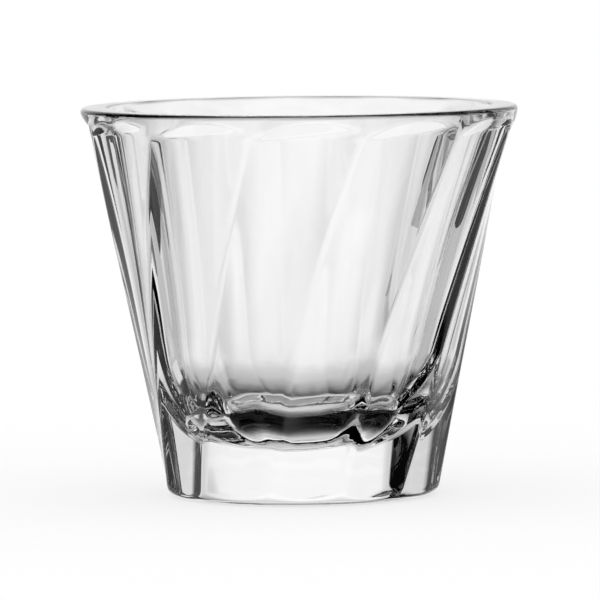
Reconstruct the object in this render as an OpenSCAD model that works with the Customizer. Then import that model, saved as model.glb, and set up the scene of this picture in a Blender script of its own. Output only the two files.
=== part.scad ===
// Clear pressed-glass tumbler for a short milk coffee: a flared cup with flat facets that twist
// round the outside, a smooth round inside, a heavy base and a round polished rim.
// Millimetres, +Z up, origin at the middle of the face that it stands on.

/* [Body] */
// Height from the table to the top of the rim
height = 66; // [50:0.5:90]
// Diameter of the circle through the ridges, carried up to the top of the rim
mouth_d = 75.2; // [64:0.2:90]
// Diameter of the circle through the ridges, carried down to the table
foot_d = 47.1; // [38:0.1:56]
// How far the side curves in at half height, measured from a straight cone
side_hollow = 1; // [0:0.1:2.5]

/* [Facets] */
// Number of facets round the outside
facets = 12; // [8:1:16]
// Angle that a facet turns through from the table to the top of the rim
twist = 33.4; // [0:0.2:60]
// Angle of one ridge at the top of the rim, from +X
ridge_angle = 18.5; // [0:0.5:30]
// Radius of the rounding along each ridge
ridge_round = 3; // [0.5:0.1:4.5]
// Height of the band under the rim where the facets fade into the round
fade_h = 3; // [2:0.5:12]

/* [Rim] */
// Rounding radius of the rim, outside and inside
lip_round = 0.7; // [0.5:0.1:1.5]

/* [Inside] */
// Thickness of the wall at the rim, behind the middle of a facet
rim_wall = 3.7; // [2.6:0.1:5]
// Thickness that the wall would have at the floor, behind the middle of a facet
foot_wall = 5.3; // [2:0.1:6.5]
// Extra thickness of the wall halfway between the floor and the rim
wall_swell = 0.5; // [0:0.1:1.5]
// Thickness of the glass under the middle of the floor
floor_t = 9.2; // [5:0.2:16]
// Height above the floor at which the wall starts to round in
bowl_h = 16; // [6:0.5:22]

/* [Base] */
// Rounding radius where the side meets the underside
heel_round = 3; // [0.8:0.1:4]
// Width of the flat ring that it stands on
ring_w = 4; // [2:0.5:8]
// Height of the hollow inside that ring
hollow_h = 0.7; // [0.2:0.1:1.5]

/* [Hidden] */
$fn = 96;

// How far a cut or a trimmed shape runs past the face that it makes
overrun = 1;
// Room between the ridges and the round skin that trims them at the rim and the heel
skin_room = 0.06;
// The cut for the inside passes the top of its own lip by this share of the lip's radius
lip_cut_share = 0.06;
// How far the faded facets pass the round skin at the rim, as a share of the facets' depth
fade_push_share = 1.1;
// Height of the bowl's lower corner point, as a share of bowl_h
bowl_corner_share = 0.42;
// Reach of the nearly level middle of the floor, as a share of the inside radius there
bowl_floor_share = 0.78;
// Points across one ridge, levels up the side, points on a small arc
ridge_steps = 4;
levels = 44;
arc_steps = 10;

foot_r = foot_d / 2;
mouth_r = mouth_d / 2;
facet_half = 180 / facets;

// A bow that is 0 at both ends of a span and 1 in its middle, and its slope
function bow_share(u) = 4 * u * (1 - u);
function bow_slope_share(u) = 4 * (1 - 2 * u);

// Radius of the circle through the ridges at height z, and its slope there
function skin_r(z) =
    foot_r + (mouth_r - foot_r) * z / height - side_hollow * bow_share(z / height);
function skin_slope(z) = (mouth_r - foot_r - side_hollow * bow_slope_share(z / height)) / height;

// Distance from the axis to the middle of a facet, before it fades out
function flat_r(z) = (skin_r(z) - ridge_round) * cos(facet_half) + ridge_round;
function flat_slope(z) = skin_slope(z) * cos(facet_half);

// The facets fade by leaning out past the skin, up to the lip
lip_lean = atan(skin_slope(height));
lip_z = height - lip_round * (1 + sin(lip_lean));
fade_z = lip_z - fade_h;
fade_push = (skin_r(lip_z) - flat_r(lip_z)) * fade_push_share;
function faded_r(z) = flat_r(z) + fade_push * max(0, z - fade_z) / fade_h;

// Inside radius at height z, and its slope, from the wall's thickness between floor and rim
inside_h = height - floor_t;
function inside_share(z) = (z - floor_t) / inside_h;
function wall_at(z) =
    foot_wall + (rim_wall - foot_wall) * inside_share(z) + wall_swell * bow_share(inside_share(z));
function wall_slope(z) =
    (rim_wall - foot_wall + wall_swell * bow_slope_share(inside_share(z))) / inside_h;
function inside_r(z) = flat_r(z) - wall_at(z);
function inside_slope(z) = flat_slope(z) - wall_slope(z);

// Points of an arc, from one angle to another
function arc(centre, r, from, to) =
    [for (i = [0 : arc_steps])
        let (a = from + (to - from) * i / arc_steps)
        centre + r * [cos(a), sin(a)]];

// Heights spread evenly between two levels
function heights(low, high) = [for (i = [0 : levels]) low + (high - low) * i / levels];

// Section of the twisted body at height z: arcs on the ridges, with a point in the middle of each facet
function section(z) =
    let (
        flat = faded_r(z),
        centre_r = (flat - ridge_round) / cos(facet_half),
        turn = ridge_angle + twist * (z - height) / height
    )
    [for (f = [0 : facets - 1])
        let (a = turn + 2 * facet_half * f)
        each concat(
            [for (i = [0 : ridge_steps])
                let (b = a - facet_half + 2 * facet_half * i / ridge_steps)
                [centre_r * cos(a) + ridge_round * cos(b), centre_r * sin(a) + ridge_round * sin(b), z]],
            [[flat * cos(a + facet_half), flat * sin(a + facet_half), z]])];

// The twisted flats as one closed skin, longer than the glass at both ends
module twisted_facets() {
    rows = [for (z = heights(-overrun, height + overrun)) section(z)];
    n = len(rows[0]);
    sides = [for (k = [0 : levels - 1], i = [0 : n - 1])
        let (j = (i + 1) % n)
        each [[k * n + i, (k + 1) * n + j, k * n + j], [k * n + i, (k + 1) * n + i, (k + 1) * n + j]]];
    bottom = [[for (i = [0 : n - 1]) i]];
    top = [[for (i = [0 : n - 1]) levels * n + n - 1 - i]];
    polyhedron(points = [for (row = rows, p = row) p], faces = concat(sides, bottom, top), convexity = 4);
}

// Round skin that gives the heel, the rim and the flat top and bottom
heel_lean = atan(skin_slope(0));
heel_z = heel_round * (1 - sin(heel_lean));
heel_r = skin_r(heel_z) + skin_room - heel_round * cos(heel_lean);
lip_r = skin_r(lip_z) + skin_room - lip_round * cos(lip_lean);
module round_skin() {
    rotate_extrude()
        polygon(concat(
            [[0, 0]],
            arc([heel_r, heel_round], heel_round, -90, -heel_lean),
            [for (z = heights(heel_z, lip_z)) if (z > heel_z && z < lip_z) [skin_r(z) + skin_room, z]],
            arc([lip_r, height - lip_round], lip_round, -lip_lean, 90),
            [[0, height]]));
}

// Inside: level floor rounding up into the wall, and the inner half of the lip
bowl_z = floor_t + bowl_h;
bowl_corner_z = floor_t + bowl_h * bowl_corner_share;
bowl_top = [inside_r(bowl_z), bowl_z];
bowl_corner = [inside_r(bowl_z) - inside_slope(bowl_z) * (bowl_z - bowl_corner_z), bowl_corner_z];
bowl_level = [inside_r(floor_t) * bowl_floor_share, floor_t];
bowl_middle = [0, floor_t];
function bowl_point(t) =
    pow(1 - t, 3) * bowl_middle + 3 * t * pow(1 - t, 2) * bowl_level
    + 3 * pow(t, 2) * (1 - t) * bowl_corner + pow(t, 3) * bowl_top;

mouth_lean = atan(inside_slope(height));
mouth_centre_z = height - lip_round * (1 - lip_cut_share);
mouth_z = mouth_centre_z + lip_round * sin(mouth_lean);
mouth_centre_r = inside_r(mouth_z) + lip_round * cos(mouth_lean);
module inside() {
    rotate_extrude()
        polygon(concat(
            [for (i = [0 : 2 * arc_steps]) bowl_point(i / (2 * arc_steps))],
            [for (z = heights(bowl_z, mouth_z)) if (z > bowl_z && z < mouth_z) [inside_r(z), z]],
            arc([mouth_centre_r, mouth_centre_z], lip_round, 180 - mouth_lean, 90),
            [[mouth_centre_r, height + overrun], [0, height + overrun]]));
}

// Shallow hollow under the base, so that only a flat ring touches the table
hollow_r = heel_r - ring_w;
hollow_round = (pow(hollow_r, 2) + pow(hollow_h, 2)) / (2 * hollow_h);
hollow_span = asin(hollow_r / hollow_round);
module underside_hollow() {
    rotate_extrude()
        polygon(concat(
            arc([0, hollow_h - hollow_round], hollow_round, 90 - hollow_span, 90),
            [[0, -overrun], [hollow_r, -overrun]]));
}

// The whole glass is one pressed piece
module tumbler() {
    color([0.86, 0.91, 0.92, 0.35])
        difference() {
            intersection() {
                twisted_facets();
                round_skin();
            }
            inside();
            underside_hollow();
        }
}

tumbler();
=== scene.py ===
import math
import bpy
import numpy as np
from mathutils import Matrix, Vector


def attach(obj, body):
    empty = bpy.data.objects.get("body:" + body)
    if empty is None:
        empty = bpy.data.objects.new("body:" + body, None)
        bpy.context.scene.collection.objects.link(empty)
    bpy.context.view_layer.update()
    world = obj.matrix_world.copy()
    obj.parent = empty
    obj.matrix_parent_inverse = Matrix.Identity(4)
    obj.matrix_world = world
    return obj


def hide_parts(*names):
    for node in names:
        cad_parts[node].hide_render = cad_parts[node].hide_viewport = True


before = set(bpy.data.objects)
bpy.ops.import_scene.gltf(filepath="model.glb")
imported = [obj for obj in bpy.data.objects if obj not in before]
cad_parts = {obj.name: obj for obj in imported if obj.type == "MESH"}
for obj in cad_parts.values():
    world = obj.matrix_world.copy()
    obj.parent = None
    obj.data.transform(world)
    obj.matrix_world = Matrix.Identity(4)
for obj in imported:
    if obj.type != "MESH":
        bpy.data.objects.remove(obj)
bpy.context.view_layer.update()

# Sizes of the glass in millimetres, the same as in the CAD source
MM = 0.001
HEIGHT = 66.0
MOUTH_R = 75.2 / 2
FOOT_R = 47.1 / 2
SIDE_HOLLOW = 1.0
FACETS = 12
FACET_HALF = math.pi / FACETS
TWIST = math.radians(33.4)
RIDGE_ANGLE = math.radians(18.5)
RIDGE_ROUND = 3.0
FADE_H = 3.0
FADE_PUSH = 1.1
LIP_ROUND = 0.7
RIM_WALL = 3.7
FOOT_WALL = 5.3
WALL_SWELL = 0.5
FLOOR_T = 9.2
BOWL_H = 16.0
BOWL_CORNER = 0.42
BOWL_LEVEL = 0.78
HEEL_ROUND = 3.0
RING_W = 4.0
HOLLOW_H = 0.7

# Small forms that only the scene has, in millimetres or as shares.
# The skin keeps just inside the CAD model's own
SKIN_ROOM = 0.04
# The fade under the rim starts lower at one side of each facet than at the other, and starts softly
FADE_SLANT = 0.75
FADE_SOFT = 0.2
# How far a facet swells from flat towards the round, and how far each one does near the base, where the
# mould has left them a little hollow or a little full. The second gives way to the first between two heights
FACET_SWELL = 0.03
FOOT_SWELLS = (0.0, -0.05, -0.05, 0.04, -0.05, 0.16, -0.37, -0.48, 0.25, 0.18, -0.05, 0.2)
FOOT_SWELL_Z = (12.0, 28.0)
# Waves that the plunger left low in the bowl: height, and each wave's number round, phase and share
RIPPLE = 0.2
RIPPLE_WAVES = ((12, 0.4, 0.5), (7, 2.1, 0.3), (17, 4.4, 0.2))
# They fade out up the wall and towards the middle of the floor, as shares of the bowl's curve
RIPPLE_SPAN = (0.1, 0.45, 0.6, 1.0)
# The rim is drawn in a little, from a height below the top
RIM_TRIM = 0.3
RIM_TRIM_H = 5.0
# Softness of the edge where a facet runs into the round heel or rim
EDGE_SOFT = 0.2

# Fineness of the mesh: steps across a ridge and a flat, and rings on each stretch of the section
RIDGE_STEPS = 8
FLAT_STEPS = 14
HOLLOW_RINGS = 9
SMALL_ARC_RINGS = 14
SIDE_RINGS = 150
WALL_RINGS = 60
BOWL_RINGS = 60
# The flat ring under the base has points this far from its inner edge (mm), and at this share of its width
RING_EDGE = 0.3
RING_MIDDLE = 0.5
# Step over which the slope of the inside is measured (mm)
SLOPE_STEP = 1e-3


def bow(u):
    """0 at both ends of a span and 1 in its middle."""
    return 4 * u * (1 - u)


def skin_r(z):
    """Radius of the circle through the ridges."""
    return FOOT_R + (MOUTH_R - FOOT_R) * z / HEIGHT - SIDE_HOLLOW * bow(z / HEIGHT)


def skin_slope(z):
    return (MOUTH_R - FOOT_R - SIDE_HOLLOW * 4 * (1 - 2 * z / HEIGHT)) / HEIGHT


def flat_r(z):
    """Distance from the axis to the middle of a facet, before it fades out."""
    return (skin_r(z) - RIDGE_ROUND) * math.cos(FACET_HALF) + RIDGE_ROUND


def inside_r(z):
    u = (z - FLOOR_T) / (HEIGHT - FLOOR_T)
    return flat_r(z) - FOOT_WALL - (RIM_WALL - FOOT_WALL) * u - WALL_SWELL * bow(u)


def inside_slope(z):
    return (inside_r(z + SLOPE_STEP) - inside_r(z - SLOPE_STEP)) / (2 * SLOPE_STEP)


LIP_LEAN = math.atan(skin_slope(HEIGHT))
LIP_Z = HEIGHT - LIP_ROUND * (1 + math.sin(LIP_LEAN))
LIP_R = skin_r(LIP_Z) + SKIN_ROOM - RIM_TRIM - LIP_ROUND * math.cos(LIP_LEAN)
FADE_Z = LIP_Z - FADE_H
FADE_OUT = (skin_r(LIP_Z) - flat_r(LIP_Z)) * FADE_PUSH
HEEL_LEAN = math.atan(skin_slope(0))
HEEL_Z = HEEL_ROUND * (1 - math.sin(HEEL_LEAN))
HEEL_R = skin_r(HEEL_Z) + SKIN_ROOM - HEEL_ROUND * math.cos(HEEL_LEAN)


def soft_min(a, b, k):
    """The smaller of two values, rounded over where they cross."""
    h = np.clip(0.5 + 0.5 * (b - a) / k, 0, 1)
    return b * (1 - h) + a * h - k * h * (1 - h)


def facet_ring(z):
    """Radius and angle of the points of one level of the twisted body, before the round skin trims it."""
    flat = flat_r(z)
    centre = (flat - RIDGE_ROUND) / math.cos(FACET_HALF)
    bend = np.linspace(-FACET_HALF, FACET_HALF, RIDGE_STEPS + 1)
    x = centre + RIDGE_ROUND * np.cos(bend)
    y = RIDGE_ROUND * np.sin(bend)
    # The flat runs from the end of this ridge to the start of the next
    t = np.linspace(0, 1, FLAT_STEPS + 1)[1:-1]
    cos_next, sin_next = math.cos(2 * FACET_HALF), math.sin(2 * FACET_HALF)
    next_x = x[0] * cos_next - y[0] * sin_next
    next_y = x[0] * sin_next + y[0] * cos_next
    x = np.concatenate([x, x[-1] + (next_x - x[-1]) * t])
    y = np.concatenate([y, y[-1] + (next_y - y[-1]) * t])
    rho = np.hypot(x, y)
    ang = np.arctan2(y, x)
    across = ang / FACET_HALF - 1
    fade = np.maximum(0, (z - FADE_SLANT * across - FADE_Z) / FADE_H)
    fade = np.where(fade < FADE_SOFT, fade ** 2 / (2 * FADE_SOFT), fade - FADE_SOFT / 2)
    rho = rho * (1 + FADE_OUT * fade / flat)
    low = np.interp(z, FOOT_SWELL_Z, (1, 0))
    swells = FACET_SWELL + low * (np.array(FOOT_SWELLS) - FACET_SWELL)
    turn = RIDGE_ANGLE + TWIST * (z - HEIGHT) / HEIGHT
    all_rho = np.concatenate([rho + swell * (skin_r(z) - rho) for swell in swells])
    all_ang = np.concatenate([ang + turn + 2 * FACET_HALF * f for f in range(FACETS)])
    return all_rho, all_ang


def ripple(t, ang):
    """Height of the waves in the bowl, at a share of its curve from the middle to the wall."""
    fade = np.interp(t, RIPPLE_SPAN, (0, 1, 1, 0))
    fade = fade * fade * (3 - 2 * fade)
    waves = (share * np.sin(number * ang + phase) for number, phase, share in RIPPLE_WAVES)
    return RIPPLE * fade * sum(waves)


def ring(r, z, ang):
    """Points at these angles, with one radius and height for all or one each."""
    return np.stack([r * np.cos(ang), r * np.sin(ang), np.broadcast_to(z, ang.shape)], 1)


def skin_ring(z, skin):
    """One level of the twisted body, trimmed by the round skin."""
    rho, ang = facet_ring(z)
    return ring(soft_min(rho, np.full_like(rho, skin), EDGE_SOFT), z, ang)


def underside_rings(ang):
    """From the middle of the hollow under the base out to the ring that it stands on."""
    hollow_r = HEEL_R - RING_W
    hollow_round = (hollow_r ** 2 + HOLLOW_H ** 2) / (2 * HOLLOW_H)
    rings = []
    for share in np.linspace(0, 1, HOLLOW_RINGS + 1)[1:]:
        r = hollow_r * share
        rings.append(ring(r, HOLLOW_H - hollow_round + math.sqrt(hollow_round ** 2 - r * r), ang))
    rings.append(ring(hollow_r + RING_EDGE, 0.0, ang))
    rings.append(ring(hollow_r + RING_W * RING_MIDDLE, 0.0, ang))
    return rings


def outside_rings():
    """From the heel up the facets and over the outer half of the rim."""
    rings = []
    for t in np.linspace(-math.pi / 2, -HEEL_LEAN, SMALL_ARC_RINGS)[:-1]:
        rings.append(skin_ring(HEEL_ROUND + HEEL_ROUND * math.sin(t), HEEL_R + HEEL_ROUND * math.cos(t)))
    for z in np.linspace(HEEL_Z, LIP_Z, SIDE_RINGS):
        trim = RIM_TRIM * max(0, 1 - (LIP_Z - z) / RIM_TRIM_H) ** 2
        rings.append(skin_ring(z, skin_r(z) + SKIN_ROOM - trim))
    for t in np.linspace(-LIP_LEAN, math.pi / 2, SMALL_ARC_RINGS)[1:]:
        z = HEIGHT - LIP_ROUND + LIP_ROUND * math.sin(t)
        rings.append(skin_ring(z, LIP_R + LIP_ROUND * math.cos(t)))
    return rings


def inside_rings(ang):
    """From the inner half of the rim down the wall and over the bowl, up to the middle of the floor."""
    rings = []
    lean = math.atan(inside_slope(HEIGHT))
    centre_z = HEIGHT - LIP_ROUND
    mouth_z = centre_z + LIP_ROUND * math.sin(lean)
    centre_r = inside_r(mouth_z) + LIP_ROUND * math.cos(lean)
    for t in np.linspace(math.pi / 2, math.pi - lean, SMALL_ARC_RINGS):
        rings.append(ring(centre_r + LIP_ROUND * math.cos(t), centre_z + LIP_ROUND * math.sin(t), ang))
    bowl_z = FLOOR_T + BOWL_H
    for z in np.linspace(mouth_z, bowl_z, WALL_RINGS)[1:-1]:
        rings.append(ring(inside_r(z), z, ang))
    # The bowl is a cubic curve through these corners, with the waves square to it
    corner_z = FLOOR_T + BOWL_H * BOWL_CORNER
    corners = np.array([
        [0, FLOOR_T],
        [inside_r(FLOOR_T) * BOWL_LEVEL, FLOOR_T],
        [inside_r(bowl_z) - inside_slope(bowl_z) * (bowl_z - corner_z), corner_z],
        [inside_r(bowl_z), bowl_z]])
    for t in np.linspace(1, 0, BOWL_RINGS + 1)[:-1]:
        s = 1 - t
        r, z = np.array([s ** 3, 3 * t * s ** 2, 3 * t * t * s, t ** 3]) @ corners
        along = np.array([-3 * s ** 2, 3 * s * (1 - 3 * t), 3 * t * (2 - 3 * t), 3 * t * t]) @ corners
        along = along / np.hypot(*along)
        wave = ripple(t, ang)
        rings.append(ring(r - along[1] * wave, z + along[0] * wave, ang))
    return rings


def add_object(name, data):
    obj = bpy.data.objects.new(name, data)
    bpy.context.scene.collection.objects.link(obj)
    return obj


def build_glass():
    _, foot_ang = facet_ring(0.0)
    _, top_ang = facet_ring(HEIGHT)
    rings = underside_rings(foot_ang) + outside_rings() + inside_rings(top_ang)
    n = len(foot_ang)
    poles = np.array([[0, 0, FLOOR_T], [0, 0, HOLLOW_H]])
    points = np.concatenate(rings + [poles]) * MM
    faces = []
    for i in range(len(rings) - 1):
        for j in range(n):
            k = (j + 1) % n
            faces.append((i * n + j, i * n + k, (i + 1) * n + k, (i + 1) * n + j))
    last, floor_pole, under_pole = (len(rings) - 1) * n, len(rings) * n, len(rings) * n + 1
    for j in range(n):
        k = (j + 1) % n
        faces.append((last + j, last + k, floor_pole))
        faces.append((k, j, under_pole))
    mesh = bpy.data.meshes.new("tumbler_glass")
    mesh.from_pydata(points.tolist(), [], faces)
    mesh.polygons.foreach_set("use_smooth", [True] * len(mesh.polygons))
    mesh.update()
    return add_object("tumbler_glass", mesh)


def node(tree, kind, **values):
    made = tree.nodes.new(kind)
    for name, value in values.items():
        setattr(made, name, value)
    return made


def feed(tree, socket, value):
    """Set a socket to a number, or link it to another node's output."""
    if isinstance(value, (int, float)):
        socket.default_value = value
    else:
        tree.links.new(value, socket)


def math_node(tree, operation, *values):
    made = node(tree, "ShaderNodeMath", operation=operation)
    for socket, value in zip(made.inputs, values):
        feed(tree, socket, value)
    return made.outputs[0]


def mix_node(tree, share, a, b):
    made = node(tree, "ShaderNodeMix", data_type="FLOAT")
    # Socket 1 is the factor for vectors, and isn't used
    for i, value in zip((0, 2, 3), (share, a, b)):
        feed(tree, made.inputs[i], value)
    return made.outputs[0]


def map_angle(tree, angle, low, high, to_low, to_high, kind="SMOOTHSTEP"):
    """Turn an angle between two limits in degrees into a value between two others."""
    made = node(tree, "ShaderNodeMapRange", interpolation_type=kind)
    tree.links.new(angle, made.inputs["Value"])
    made.inputs["From Min"].default_value = math.radians(low)
    made.inputs["From Max"].default_value = math.radians(high)
    made.inputs["To Min"].default_value = to_low
    made.inputs["To Max"].default_value = to_high
    return made.outputs["Result"]


def ramp_node(tree, angle, low, high, stops):
    """Level by an angle between two limits, from stops in degrees."""
    made = node(tree, "ShaderNodeValToRGB")
    made.color_ramp.interpolation = "LINEAR"
    points = made.color_ramp.elements
    while len(points) < len(stops):
        points.new(0.5)
    for point, (at, level) in zip(points, stops):
        point.position = (at - low) / (high - low)
        point.color = (level, level, level, 1)
    tree.links.new(map_angle(tree, angle, low, high, 0, 1, "LINEAR"), made.inputs[0])
    return made.outputs["Color"]


GLASS_IOR = 1.52
# Faint unevenness of pressed glass: size of the waves across the wall and their height (mm)
WAVE_SIZE = 14.0
WAVE_HEIGHT = 0.05
# Streaks in the melt: how many go to a wave, how dark they get, how much longer they are than wide, their
# fine detail, and the noise values between which they clear
STREAKS_PER_WAVE = 3
STREAK_TONE = 0.975
STREAK_STRETCH = 4.0
STREAK_DETAIL = 2.0
STREAK_CLEARS = (0.25, 0.45)


def glass_material():
    """Clear glass with a slightly wavy skin and faint streaks in the melt."""
    mat = bpy.data.materials.new("clear_pressed_glass")
    mat.use_nodes = True
    tree = mat.node_tree
    shader = tree.nodes["Principled BSDF"]
    shader.inputs["Transmission Weight"].default_value = 1.0
    shader.inputs["IOR"].default_value = GLASS_IOR
    shader.inputs["Roughness"].default_value = 0.0
    coord = node(tree, "ShaderNodeTexCoord")
    waves = node(tree, "ShaderNodeTexNoise")
    waves.inputs["Scale"].default_value = 1 / (WAVE_SIZE * MM)
    waves.inputs["Detail"].default_value = 0.0
    tree.links.new(coord.outputs["Object"], waves.inputs["Vector"])
    bump = node(tree, "ShaderNodeBump")
    bump.inputs["Strength"].default_value = 1.0
    bump.inputs["Distance"].default_value = WAVE_HEIGHT * MM
    tree.links.new(waves.outputs[0], bump.inputs["Height"])
    tree.links.new(bump.outputs[0], shader.inputs["Normal"])
    stretch = node(tree, "ShaderNodeMapping")
    stretch.inputs["Scale"].default_value = (1, 1, 1 / STREAK_STRETCH)
    tree.links.new(coord.outputs["Object"], stretch.inputs["Vector"])
    streaks = node(tree, "ShaderNodeTexNoise")
    streaks.inputs["Scale"].default_value = STREAKS_PER_WAVE / (WAVE_SIZE * MM)
    streaks.inputs["Detail"].default_value = STREAK_DETAIL
    tree.links.new(stretch.outputs[0], streaks.inputs["Vector"])
    melt = node(tree, "ShaderNodeValToRGB")
    dark, clear = melt.color_ramp.elements
    dark.position, clear.position = STREAK_CLEARS
    dark.color = (STREAK_TONE, STREAK_TONE, STREAK_TONE, 1)
    clear.color = (1, 1, 1, 1)
    tree.links.new(streaks.outputs[0], melt.inputs[0])
    tree.links.new(melt.outputs["Color"], shader.inputs["Base Color"])
    return mat


# What the glass sees of the studio, as levels by direction in degrees.
# By elevation: dark under it, a white sweep behind it, a dimmer room above
SWEEP = [
    (-90, 0.0), (-75, 0.003), (-66, 0.012), (-60, 0.04), (-55, 0.09), (-50, 0.15), (-46, 0.24), (-42, 0.33),
    (-38, 0.42), (-34, 0.5), (-29, 0.57), (-24, 0.63), (-19, 0.7), (-15, 0.8), (-12, 0.9), (-9, 0.96),
    (-5, 1.0), (15, 1.0), (21, 0.9), (30, 0.75), (42, 0.6), (90, 0.6)]
# Overhead, at least this share of that room is left all round. It comes in between two elevations
CEILING = 0.45
CEILING_FROM = (50, 58)
# By azimuth, from +Y towards +X: a wide bright panel behind, with a dark room beside it
PANEL_HIGH = [
    (-180, 0.08), (-150, 0.05), (-125, 0.012), (-100, 0.004), (-42.6, 0.003), (-41.4, 0.7), (-36, 0.72),
    (-30, 0.68), (-23, 0.8), (-17, 0.97), (-13, 1), (13, 1), (17, 0.97), (23, 0.8), (30, 0.68), (36, 0.72),
    (42.2, 0.72), (43.4, 0.003), (100, 0.004), (125, 0.012), (150, 0.05), (180, 0.08)]
# Lower down, on the table, the light is narrower
PANEL_LOW = [
    (-180, 0.04), (-150, 0.02), (-125, 0.005), (-100, 0.003), (-44, 0.01), (-40, 0.1), (-34, 0.4),
    (-28, 0.68), (-22, 0.78), (-16, 0.83), (-11, 0.93), (-6, 1), (6, 1), (11, 0.93), (16, 0.83), (22, 0.78),
    (26, 0.6), (30, 0.35), (36, 0.12), (42, 0.01), (100, 0.003), (125, 0.005), (150, 0.02), (180, 0.04)]
# Nearer the glass it reaches farther to both sides
PANEL_NEAR = [
    (-180, 0.04), (-150, 0.02), (-125, 0.005), (-100, 0.005), (-72, 0.01), (-66, 0.2), (-60, 0.75),
    (-46, 0.7), (-36, 0.58), (-31, 0.62), (-25, 0.82), (-16, 0.88), (-11, 0.96), (-6, 1), (11, 1), (15, 0.95),
    (20, 0.88), (32, 0.9), (38, 0.75), (46, 0.6), (54, 0.4), (62, 0.1), (70, 0.01), (100, 0.003),
    (125, 0.005), (150, 0.02), (180, 0.04)]
# Nearer still it has a dimmer patch to the right
PANEL_UNDER = [
    (-180, 0.04), (-150, 0.02), (-125, 0.005), (-100, 0.005), (-70, 0.01), (-65, 0.1), (-59, 0.58),
    (-47, 0.7), (-36, 0.72), (-30, 0.74), (-22, 0.82), (-14, 0.96), (-8, 1), (8, 1), (14, 0.96), (18, 0.85),
    (24, 0.75), (30, 0.45), (34, 0.32), (38, 0.5), (46, 0.7), (57, 0.68), (64, 0.62), (70, 0.05),
    (100, 0.005), (125, 0.005), (150, 0.02), (180, 0.04)]
# Close to the foot only a narrow pool of it is left
PANEL_FOOT = [
    (-180, 0.04), (-150, 0.02), (-125, 0.005), (-100, 0.005), (-62, 0.03), (-45, 0.15), (-33, 0.2),
    (-26, 0.3), (-20, 0.48), (-14, 0.6), (-8, 0.86), (-3, 0.97), (4, 1), (9, 0.95), (15, 0.66), (20, 0.4),
    (26, 0.2), (34, 0.1), (45, 0.03), (62, 0.02), (100, 0.005), (125, 0.005), (150, 0.02), (180, 0.04)]
PANELS = [PANEL_FOOT, PANEL_UNDER, PANEL_NEAR, PANEL_LOW, PANEL_HIGH]
# The elevations over which each of these gives way to the next
PANEL_STEPS = [(-34, -27), (-17, -14.5), (-11.5, -9), (-2, 4)]
# Smaller panels: azimuth, half width, elevation, half height and level.
# In front there are the table and a soft light over the camera
FRONT_PANELS = [(180, 55, -41, 13, 0.9), (180, 40, 30, 9, 0.4)]
# To the sides, for what is seen through the glass
SIDE_PANELS = [
    (-90, 20, -2, 13, 0.85), (-97, 11, -21, 11, 0.8), (135, 20, -15, 15, 0.8), (-47, 13, -27, 11, 0.75)]
# To the sides, for what the skin reflects: the pale table there
SHEEN_PANELS = [(63, 20, -15, 14, 0.5), (-63, 20, -15, 14, 0.5)]
# How far the soft edge of a smaller panel reaches to either side of it
PANEL_SOFT = 3


def small_panel(tree, azimuth, elevation, at, half, height, half_height, bright):
    """One soft-edged panel of light, seen in a range of directions."""
    level = bright
    for angle, middle, reach in ((azimuth, at, half), (elevation, height, half_height)):
        turn = math_node(tree, "SUBTRACT", angle, math.radians(middle))
        away = math_node(tree, "ABSOLUTE", math_node(tree, "WRAP", turn, math.pi, -math.pi))
        share = map_angle(tree, away, reach - PANEL_SOFT, reach + PANEL_SOFT, 1.0, 0.0)
        level = math_node(tree, "MULTIPLY", share, level)
    return level


def surroundings(tree, direction, reflected, through):
    """Brightness of the studio in a direction, for rays that the glass reflects or lets through."""
    xyz = node(tree, "ShaderNodeSeparateXYZ")
    tree.links.new(direction, xyz.inputs[0])
    azimuth = math_node(tree, "ARCTAN2", xyz.outputs[0], xyz.outputs[1])
    elevation = math_node(tree, "ARCSINE", xyz.outputs[2])
    level = ramp_node(tree, azimuth, -180, 180, PANELS[0])
    for (low, high), stops in zip(PANEL_STEPS, PANELS[1:]):
        share = map_angle(tree, elevation, low, high, 0.0, 1.0)
        level = mix_node(tree, share, level, ramp_node(tree, azimuth, -180, 180, stops))
    above = map_angle(tree, elevation, *CEILING_FROM, 0.0, CEILING)
    level = math_node(tree, "MAXIMUM", level, above)
    level = math_node(tree, "MULTIPLY", level, ramp_node(tree, elevation, -90, 90, SWEEP))
    for rays, panels in ((1.0, FRONT_PANELS), (through, SIDE_PANELS), (reflected, SHEEN_PANELS)):
        for panel in panels:
            bright = math_node(tree, "MULTIPLY", small_panel(tree, azimuth, elevation, *panel), rays)
            level = math_node(tree, "MAXIMUM", level, bright)
    return level


def build_world():
    """Plain white light, apart from what the glass reflects and lets through."""
    world = bpy.data.worlds.new("studio")
    bpy.context.scene.world = world
    world.use_nodes = True
    tree = world.node_tree
    tree.nodes.clear()
    out = node(tree, "ShaderNodeOutputWorld")
    back = node(tree, "ShaderNodeBackground")
    back.inputs["Color"].default_value = (1, 1, 1, 1)
    tree.links.new(back.outputs[0], out.inputs[0])
    coord = node(tree, "ShaderNodeTexCoord")
    path = node(tree, "ShaderNodeLightPath")
    reflected, through = path.outputs["Is Glossy Ray"], path.outputs["Is Transmission Ray"]
    seen = surroundings(tree, coord.outputs["Generated"], reflected, through)
    glass_sees = math_node(tree, "MAXIMUM", reflected, through)
    tree.links.new(mix_node(tree, glass_sees, 1.0, seen), back.inputs["Strength"])


def paper_material(name, grey):
    """Plain paper, and its node tree, shader and output for what is added to it."""
    mat = bpy.data.materials.new(name)
    mat.use_nodes = True
    tree = mat.node_tree
    tree.nodes.clear()
    out = node(tree, "ShaderNodeOutputMaterial")
    paper = node(tree, "ShaderNodeBsdfDiffuse")
    paper.inputs["Color"].default_value = (grey, grey, grey, 1)
    tree.links.new(paper.outputs[0], out.inputs[0])
    return mat, tree, paper, out


def build_sheet(name, outline, mat):
    mesh = bpy.data.meshes.new(name)
    mesh.from_pydata([(x, y, 0.0) for x, y in outline], [], [range(len(outline))])
    mesh.materials.append(mat)
    return add_object(name, mesh)


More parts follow.
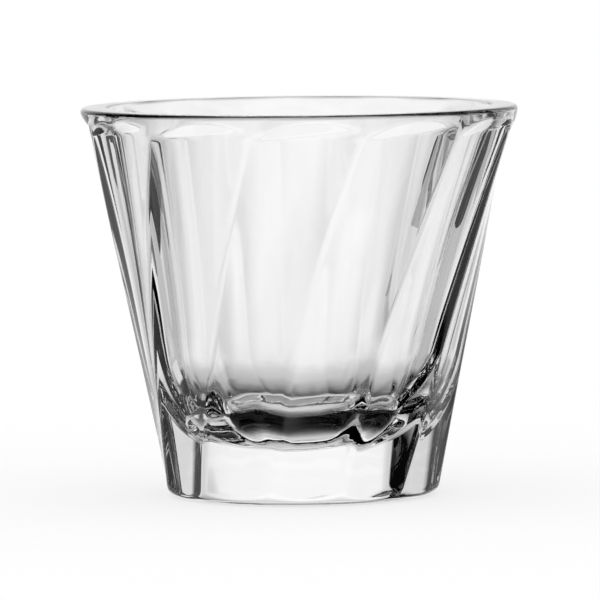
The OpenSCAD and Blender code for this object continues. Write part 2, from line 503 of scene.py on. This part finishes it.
# Half the floor's width and its drop below the foot (m), and the share of its white that the camera sees as is
FLOOR_HALF = 4.0
FLOOR_DROP = 0.0002
FLOOR_WHITE = 0.7


def build_floor():
    mat, tree, paper, out = paper_material("white_floor", 1)
    white = node(tree, "ShaderNodeEmission")
    white.inputs["Strength"].default_value = 1.0
    mix = node(tree, "ShaderNodeMixShader")
    path = node(tree, "ShaderNodeLightPath")
    tree.links.new(math_node(tree, "MULTIPLY", path.outputs["Is Camera Ray"], FLOOR_WHITE), mix.inputs[0])
    tree.links.new(paper.outputs[0], mix.inputs[1])
    tree.links.new(white.outputs[0], mix.inputs[2])
    tree.links.new(mix.outputs[0], out.inputs[0])
    s = FLOOR_HALF
    floor = build_sheet("floor", [(-s, -s), (s, -s), (s, s), (-s, s)], mat)
    floor.location.z = -FLOOR_DROP
    floor.visible_transmission = False
    floor.visible_glossy = False


# Cards that lie on the table beyond the white paper, seen only through the glass: grey level and outline (mm)
CARDS = [
    (0.02, [(-131, -80), (-131, 68), (-141, 84), (-141, 126), (-127, 140), (-127, 176), (-140, 188),
            (-150, 205), (-195, 205), (-195, -80)]),
    (0.02, [(139, -80), (139, 50), (134, 90), (134, 100), (144, 130), (147, 148), (182, 148), (182, -80)]),
    (0.02, [(203, -80), (203, 165), (700, 165), (700, -80)]),
    (0.03, [(119, 213), (119, 226), (138, 238), (154, 232), (154, 217), (136, 211)]),
    (0.42, [(98, 198), (119, 212), (182, 212), (182, 149), (147, 149), (132, 150), (117, 172)])]


def build_cards():
    for i, (grey, outline) in enumerate(CARDS):
        name = f"card_{i + 1}"
        mat, *_ = paper_material(name, grey)
        card = build_sheet(name, [(x * MM, y * MM) for x, y in outline], mat)
        card.visible_camera = False
        card.visible_diffuse = False
        card.visible_glossy = False
        card.visible_shadow = False


# The camera stands well back and a little above the rim, as in the photograph (m)
CAMERA_AT = Vector((0.0, -1.25, 0.125))
LOOK_AT = Vector((-0.00015, 0.0, 0.0329))
ROLL = math.radians(-0.56)
# The photograph's width in pixels, and what one of them spans at the glass (mm)
FRAME_PX = 600
MM_PER_PX = 0.17
FRAME_HALF_WIDTH = FRAME_PX / 2 * MM_PER_PX * MM
SENSOR_WIDTH = 36.0
CLIP_NEAR, CLIP_FAR = 0.02, 30.0


def build_camera():
    data = bpy.data.cameras.new("camera")
    camera = add_object("camera", data)
    sight = LOOK_AT - CAMERA_AT
    camera.location = CAMERA_AT
    turn = sight.to_track_quat("-Z", "Y").to_matrix() @ Matrix.Rotation(ROLL, 3, "Z")
    camera.rotation_euler = turn.to_euler()
    data.sensor_width = SENSOR_WIDTH
    data.lens = SENSOR_WIDTH / 2 / (FRAME_HALF_WIDTH / sight.length)
    data.clip_start = CLIP_NEAR
    data.clip_end = CLIP_FAR
    bpy.context.scene.camera = camera


glass = build_glass()
glass.data.materials.append(glass_material())
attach(glass, "root")
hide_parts("tumbler")

build_floor()
build_cards()
build_world()
build_camera()

# Light that is caught in the glass for longer than this is let go, which keeps the corners of the base dark
BOUNCES = 7
scene = bpy.context.scene
scene.view_settings.view_transform = "Standard"
scene.cycles.max_bounces = BOUNCES
scene.cycles.transmission_bounces = BOUNCES
scene.cycles.glossy_bounces = BOUNCES
